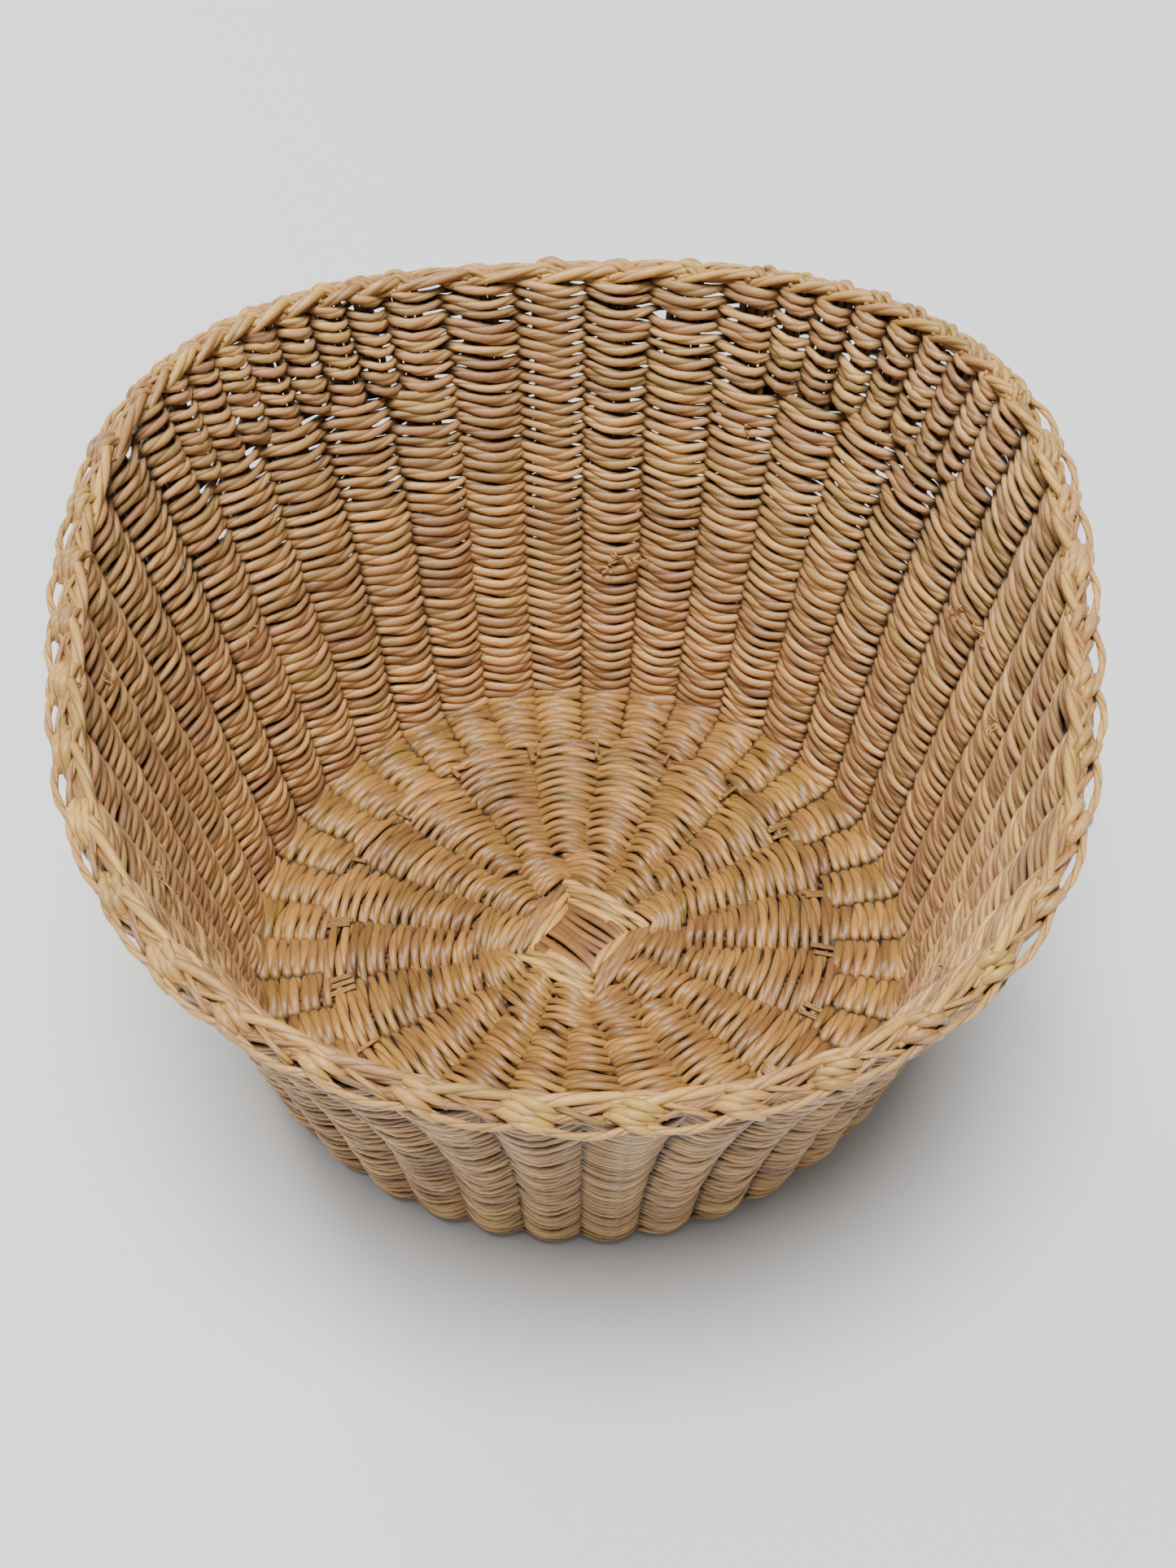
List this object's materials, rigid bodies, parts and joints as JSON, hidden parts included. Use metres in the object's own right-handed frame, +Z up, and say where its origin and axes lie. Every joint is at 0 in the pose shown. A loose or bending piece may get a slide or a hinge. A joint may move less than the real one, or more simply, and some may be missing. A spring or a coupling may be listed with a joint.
{
  "type": "bread basket",
  "caption": "Open round bread basket hand-twined from twisted straw, with radiating ribs, a flaring wall and a knotted cord border.",
  "frame": {"origin": "centre of the base on the surface it rests on", "axes": "+Z up through the mouth, -Y towards the front of the basket, +X to its right seen from the front"},
  "size_m": [0.2206, 0.2427, 0.1354],
  "materials": {
    "wall_straw": "satin golden-brown twisted straw",
    "floor_straw": "satin golden twisted straw",
    "rib_straw": "satin straw, seen only through gaps in the weft",
    "cross_straw": "satin straight straw",
    "border_straw": "satin pale golden straw"
  },
  "bodies": {
    "root": {"cross_upper": "cross_straw", "cross_lower": "cross_straw", "cross_binding": "cross_straw", "floor_spokes": "rib_straw", "floor_weft_inner_upper": "floor_straw", "floor_weft_inner_lower": "floor_straw", "floor_weft_outer_upper": "floor_straw", "floor_weft_outer_lower": "floor_straw", "wall_weft_inside": "wall_straw", "wall_weft_outside": "wall_straw", "short_ribs_left": "rib_straw", "short_ribs_right": "rib_straw", "rib_01": "rib_straw", "rib_02": "rib_straw", "rib_03": "rib_straw", "rib_04": "rib_straw", "rib_05": "rib_straw", "rib_06": "rib_straw", "rib_07": "rib_straw", "rib_08": "rib_straw", "rib_09": "rib_straw", "rib_10": "rib_straw", "rib_11": "rib_straw", "rib_12": "rib_straw", "rib_13": "rib_straw", "rib_14": "rib_straw", "rib_15": "rib_straw", "rib_16": "rib_straw", "rib_17": "rib_straw", "rib_18": "rib_straw", "rib_19": "rib_straw", "rib_20": "rib_straw", "rib_21": "rib_straw", "rib_22": "rib_straw", "rib_23": "rib_straw", "rib_24": "rib_straw", "rib_25": "rib_straw", "rib_26": "rib_straw", "rib_27": "rib_straw", "rib_28": "rib_straw", "rib_29": "rib_straw", "rib_30": "rib_straw", "rib_31": "rib_straw", "rib_32": "rib_straw", "rib_33": "rib_straw", "rib_34": "rib_straw", "rib_35": "rib_straw", "rib_36": "rib_straw", "rib_37": "rib_straw", "rib_38": "rib_straw", "rib_39": "rib_straw", "rib_40": "rib_straw", "border_inner_cord": "border_straw", "border_outer_cord": "border_straw", "border_knots": "border_straw"}
  },
  "joints": []
}
